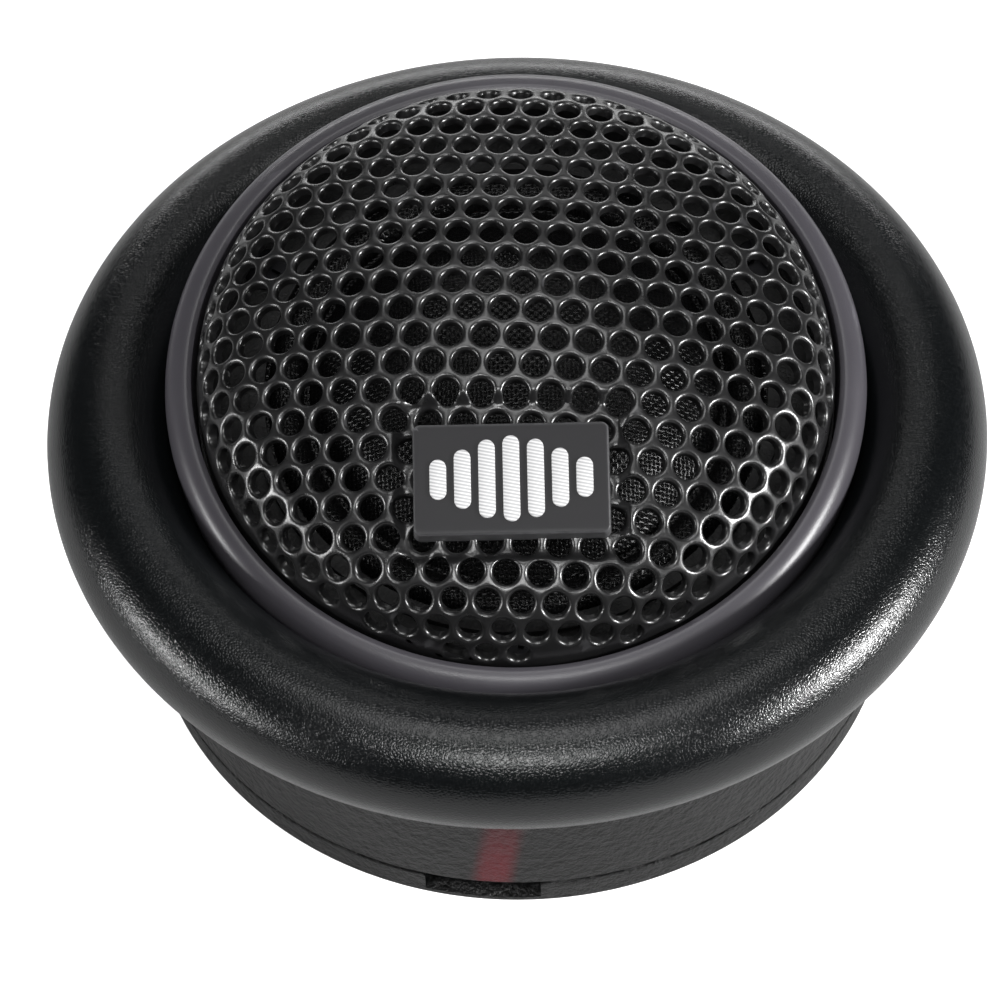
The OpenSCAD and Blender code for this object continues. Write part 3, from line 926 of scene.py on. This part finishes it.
def pierced_cell(blank, centre):
    """One cell with its hole: a flat web, a rounded lip, the wall of the hole and the back."""
    cell = hexagon(centre)
    rings = [blank.ring(cell, 0)]
    for turn in (0, math.pi / 6, math.pi / 3, math.pi / 2):
        lip = hole_ring(centre, HOLE_R + HOLE_LIP * (1 - math.sin(turn)), cell)
        rings.append(blank.ring(lip, HOLE_LIP * (1 - math.cos(turn))))
    rings.append(blank.ring(hole_ring(centre, HOLE_R, cell), SHEET))
    rings.append(blank.ring(cell, SHEET))
    for a, b in zip(rings, rings[1:]):
        blank.join(a, b)


def blind_cell(blank, centre):
    """One cell without a hole, near the skirt."""
    cell = hexagon(centre)
    inner = hole_ring(centre, HOLE_PITCH / 4, cell)
    for depth in (0, SHEET):
        ring = blank.ring(inner, depth)
        blank.join(blank.ring(cell, depth), ring)
        blank.cap(ring, centre, depth)


def lattice(limit):
    """Hole centres on the blank, out to a radius."""
    slant = HOLE_TURN - math.pi / 3
    a = (HOLE_PITCH * math.cos(HOLE_TURN), HOLE_PITCH * math.sin(HOLE_TURN))
    b = (HOLE_PITCH * math.cos(slant), HOLE_PITCH * math.sin(slant))
    x, y = HOLE_START
    span = range(-HOLE_ROWS, HOLE_ROWS + 1)
    places = [(x + i * a[0] + j * b[0], y + i * a[1] + j * b[1]) for i in span for j in span]
    return [place for place in places if math.hypot(*place) <= limit]


def rounded(place):
    """A place on the blank as a key, the same for points that should be one."""
    return round(place[0], 4), round(place[1], 4)


def border(centres):
    """Edges of the cells' outline, as pairs of places."""
    count = {}
    for centre in centres:
        cell = hexagon(centre)
        for a, b in zip(cell, cell[1:] + cell[:1]):
            count.setdefault(frozenset((rounded(a), rounded(b))), []).append((a, b))
    return [found[0] for found in count.values() if len(found) == 1]


def skirt(blank, centres, edge):
    """The plain band from the outermost cells to the bottom of the skirt, front and back, and its rim."""
    turns = [360 * i / BAND_STEPS for i in range(BAND_STEPS)]
    rings = [on_circle(edge - (edge - BAND_R) * share, turns) for share in (0, 0.5, 1)]
    edges = border(centres)
    for ring in rings:
        edges += zip(ring, ring[1:] + ring[:1])
    places = {}
    for pair in edges:
        for place in pair:
            places.setdefault(rounded(place), (len(places), place))
    held = [(places[rounded(a)][0], places[rounded(b)][0]) for a, b in edges]
    found = delaunay_2d_cdt([Vector(place) for _, place in places.values()], held, [], 1, 1e-6)
    spots, triangles = found[0], found[2]
    hearts = [Vector(centre) for centre in centres]
    for triangle in triangles:
        middle = sum((spots[i] for i in triangle), Vector((0, 0))) / 3
        if in_cells(middle, hearts):
            continue
        for depth in (0, SHEET):
            blank.faces.append([blank.point(tuple(spots[i]), depth) for i in triangle])
    blank.join(blank.ring(rings[0], 0), blank.ring(rings[0], SHEET))


def in_cells(spot, centres):
    """Whether a place lies in one of the hexagonal cells."""
    ways = [(math.cos(turn), math.sin(turn)) for turn in (HOLE_TURN + math.pi * k / 3 for k in range(3))]
    for centre in centres:
        off = spot - centre
        if off.length_squared > CELL_REACH ** 2:
            continue
        if max(abs(off.x * x + off.y * y) for x, y in ways) < HOLE_PITCH / 2:
            return True
    return False


def grille():
    """The domed sheet with all its holes, built flat and then bent to the dome."""
    blank = Blank()
    centres = lattice(HOLES_END + BLIND_BAND)
    for centre in centres:
        if math.hypot(*centre) <= HOLES_END:
            pierced_cell(blank, centre)
        else:
            blind_cell(blank, centre)
    skirt(blank, centres, SKIRT_END)
    flat = np.array(blank.flat)
    points = on_sheet(flat, np.array(blank.depth) + pressed(flat))
    piece = mesh("grille", points.tolist(), blank.faces, HEAD, sharp=50)
    return finished(piece, "head", GRILLE, "grille_paint", "grille")


# ---- Badge ----

BADGE = (
    HEAD
    @ Matrix.Translation((BADGE_X * MM, 0, CROWN_H * MM))
    @ Matrix.Rotation(BADGE_ARC / CROWN_R, 4, "X")
    @ Matrix.Translation((0, 0, CROWN_R * MM))
)


def rounded_box(width, length, corner, steps=8):
    """Points round a rectangle with rounded corners."""
    points = []
    for quarter, (sx, sy) in enumerate(((1, 1), (-1, 1), (-1, -1), (1, -1))):
        for i in range(steps + 1):
            turn = math.pi / 2 * (quarter + i / steps)
            points.append((
                sx * (width / 2 - corner) + corner * math.cos(turn),
                sy * (length / 2 - corner) + corner * math.sin(turn),
            ))
    return points


def stacked(name, outlines, place):
    """A solid from outlines of equal length, each with its height, capped at both ends."""
    points, faces = [], []
    count = len(outlines[0][0])
    for outline, height in outlines:
        points += [(x, y, height(x, y) if callable(height) else height) for x, y in outline]
    for level in range(len(outlines) - 1):
        for i in range(count):
            j = (i + 1) % count
            a, b = level * count, (level + 1) * count
            faces.append((a + i, a + j, b + j, b + i))
    faces += [tuple(range(count)), tuple(range(len(points) - count, len(points)))]
    return mesh(name, points, faces, place)


def badge_outline(inset):
    return rounded_box(BADGE_W - 2 * inset, BADGE_L - 2 * inset, BADGE_CORNER - inset * 0.8)


def badge_plate():
    """A crisp rectangular plate with a small radius round its face. Its back fits the pocket's floor."""
    edge, draft, margin = 0.16, 0.05, 0.2
    floor = CROWN_R - POCKET_DEPTH + BADGE_SINK
    levels = [(
        badge_outline(0),
        lambda x, y: math.sqrt(floor ** 2 - (x + BADGE_X) ** 2 - y * y) - CROWN_R,
    )]
    for step in range(6):
        turn = math.pi / 2 * step / 5
        inset = draft + edge * (1 - math.cos(turn))
        height = BADGE_PROUD - edge * (1 - math.sin(turn))
        levels.append((badge_outline(inset), height))
    inset += margin
    levels.append((badge_outline(inset), BADGE_PROUD))
    piece = stacked("badge_plate", levels, BADGE)
    return finished(piece, "head", PLATE, "badge_plastic", "badge_plate")


def badge_emblem():
    """Level-meter bars, tallest in the middle."""
    parts = []
    for bar in range(BARS):
        length = BAR_SHORT + BAR_GAIN * math.sin(math.pi * (bar + 1) / (BARS + 1)) ** 2 + BAR_W
        levels = []
        slant = BAR_EDGE * 0.3
        for inset, height in ((0, 0), (0, BAR_H - BAR_EDGE), (slant, BAR_H - slant), (BAR_EDGE, BAR_H)):
            shape = rounded_box(BAR_W - 2 * inset, length - 2 * inset, BAR_W / 2 - inset - 0.001, 6)
            levels.append((shape, BADGE_PROUD + height))
        offset = Matrix.Translation(((bar - (BARS - 1) / 2) * BAR_PITCH * MM, 0, 0))
        parts.append(stacked("badge_emblem", levels, BADGE @ offset))
    piece = joined("badge_emblem", parts)
    return finished(piece, "head", PRINT, "emblem_print", "badge_emblem")


def joined(name, parts):
    """One object from several separate solids."""
    work = bmesh.new()
    for part in parts:
        work.from_mesh(part.data)
        bpy.data.objects.remove(part)
    data = bpy.data.meshes.new(name)
    work.to_mesh(data)
    work.free()
    return shown(name, data)


# ---- Diaphragm ----

def silk_dome():
    """The woven dome with its flat rim."""
    _, rim_r, low, high = reach("silk_dome", HEAD)
    edge = high - DOME_RISE
    dome_r = rim_r - DOME_INSET
    sphere_r = (dome_r ** 2 + DOME_RISE ** 2) / (2 * DOME_RISE)
    centre = (0, high - sphere_r)
    turn = bearing(centre, (dome_r, edge))
    inner_r = sphere_r - DOME_T
    inner_turn = math.degrees(math.asin((low - centre[1]) / inner_r))
    outline = [
        *arc(centre, sphere_r, 90, turn),
        (rim_r, edge),
        (rim_r, low),
        *arc(centre, inner_r, inner_turn, 90),
    ]
    piece = lathe("silk_dome", softened(outline, FINE_EDGE, False), HEAD)
    return finished(piece, "diaphragm", SILK, "silk", "silk_dome")


# ---- Pieces that keep their CAD shape ----

def repaint():
    """Gives each CAD node that still shows its procedural material."""
    painted = {
        "base_screws": ZINC, "swivel_cradle": CRADLE, "friction_ring": RUBBER, "faceplate": MOULDED,
        "surround_ring": MOULDED, "surround": SILK, "top_plate": ZINC, "magnet": NEODYMIUM, "yoke": ZINC,
        "damping_pad": FELT, "head_shell": SHELL, "head_screws": BLACKED, "guide_screw": ZINC,
        "guide_washer": ZINC, "disc_spring": ZINC, "terminal_board": BOARD, "positive_tab": BRASS,
        "negative_tab": BRASS, "capacitor": RESIN, "lead_grommet": RUBBER, "tinsel_leads": COPPER,
        "coil_former": FILM, "voice_coil": COPPER,
    }
    for name, material in painted.items():
        data = frame["nodes"][name].data
        data.materials.clear()
        data.materials.append(material)


# ---- Studio ----

# What the room gives off. The camera sees a bright floor and a white room; all else is lit by a much dimmer
# room and floor, so that the dark plastic stays dark.
FLOOR_SEEN = 0.9
FLOOR_LIGHT = 0.03
ROOM_SEEN = 1
ROOM_LIGHT = 0.01

FLOOR_HALF = 3
LIGHTS_AIM = (0, 0, 0.015)
SIDE_BOX = (0.10, 0.04)


def area_light(name, place, size, power):
    light = bpy.data.lights.new(name, "AREA")
    light.shape = "RECTANGLE"
    light.size, light.size_y = size
    light.energy = power
    lamp = bpy.data.objects.new(name, light)
    lamp.location = place
    lamp.rotation_euler = (Vector(LIGHTS_AIM) - Vector(place)).to_track_quat("-Z", "Y").to_euler()
    lamp.visible_camera = False
    bpy.context.scene.collection.objects.link(lamp)


def pale_floor():
    corners = [(x * FLOOR_HALF, y * FLOOR_HALF, 0) for x, y in ((-1, -1), (1, -1), (1, 1), (-1, 1))]
    data = bpy.data.meshes.new("floor")
    data.from_pydata(corners, [], [(0, 1, 2, 3)])
    floor = bpy.data.objects.new("floor", data)
    bpy.context.scene.collection.objects.link(floor)
    finish = Finish("floor_white", Roughness=0.8, Emission_Color=(1, 1, 1, 1))
    finish.colour(finish.blend(finish.noise(60, 2), (0.58, 0.58, 0.58), (0.60, 0.60, 0.60)))
    seen = finish.add("ShaderNodeLightPath").outputs["Is Camera Ray"]
    finish.put(finish.shader.inputs["Emission Strength"], finish.scale(seen, FLOOR_LIGHT, FLOOR_SEEN))
    data.materials.append(finish.material)


def white_room():
    world = bpy.data.worlds.new("studio")
    bpy.context.scene.world = world
    world.use_nodes = True
    nodes, links = world.node_tree.nodes, world.node_tree.links
    sky = nodes["Background"]
    sky.inputs["Color"].default_value = (1, 1, 1, 1)
    seen = nodes.new("ShaderNodeLightPath").outputs["Is Camera Ray"]
    strength = nodes.new("ShaderNodeMapRange")
    strength.inputs["To Min"].default_value = ROOM_LIGHT
    strength.inputs["To Max"].default_value = ROOM_SEEN
    links.new(seen, strength.inputs["Value"])
    links.new(strength.outputs[0], sky.inputs["Strength"])


def studio():
    """A pale floor in a white room, two small softboxes at each side, a key, a top light and two behind."""
    pale_floor()
    white_room()
    area_light("left", (-0.34, -0.07, 0.13), SIDE_BOX, 0.45)
    area_light("left_near", (-0.30, -0.17, 0.13), SIDE_BOX, 0.22)
    area_light("right", (0.32, -0.10, 0.16), SIDE_BOX, 1.7)
    area_light("right_near", (0.28, -0.20, 0.16), SIDE_BOX, 0.15)
    area_light("key", (0, -0.27, 0.53), (0.25, 0.10), 1.2)
    area_light("top", (0, 0.08, 0.60), (0.30, 0.22), 0.7)
    area_light("back", (0, 0.42, 0.42), (0.40, 0.12), 0.15)
    area_light("horizon", (0, 0.58, 0.12), (0.60, 0.12), 1.2)


def camera():
    """Long lens from the near side, looking down at the cup."""
    rise, distance, roll = math.radians(55.5), 0.1995, math.radians(-1.65)
    aim = Vector((-1.14, 0, 8.3)) * MM
    data = bpy.data.cameras.new("camera")
    data.sensor_width = 36
    data.lens = 109.6
    data.clip_start = 0.01
    cam = bpy.data.objects.new("camera", data)
    cam.location = Vector((0, -math.cos(rise), math.sin(rise))) * distance
    look = (aim - cam.location).to_track_quat("-Z", "Y").to_matrix()
    cam.rotation_euler = (look @ Matrix.Rotation(roll, 3, "Z")).to_euler()
    bpy.context.scene.collection.objects.link(cam)
    bpy.context.scene.camera = cam
    bpy.context.scene.view_settings.view_transform = "Standard"


RING = ring_plastic()
CUP = cup_plastic()
SHELL = shell_plastic()
MOULDED = plate_plastic()
CRADLE = cradle_plastic()
BEZEL = bezel_plastic()
GRILLE = grille_paint()
PLATE = badge_plastic()
PRINT = emblem_print()
SILK = silk()
BOARD = board()
RUBBER = rubber()
FELT = felt()
FILM = former_film()
COPPER = copper_wire()
RESIN = capacitor_resin()
ZINC = steel_zinc()
BLACKED = steel_black()
NEODYMIUM = neodymium()
BRASS = brass_tab()

camera()
base_plate()
mounting_cup()
trim_ring()
bezel()
grille()
badge_plate()
badge_emblem()
silk_dome()
repaint()
studio()
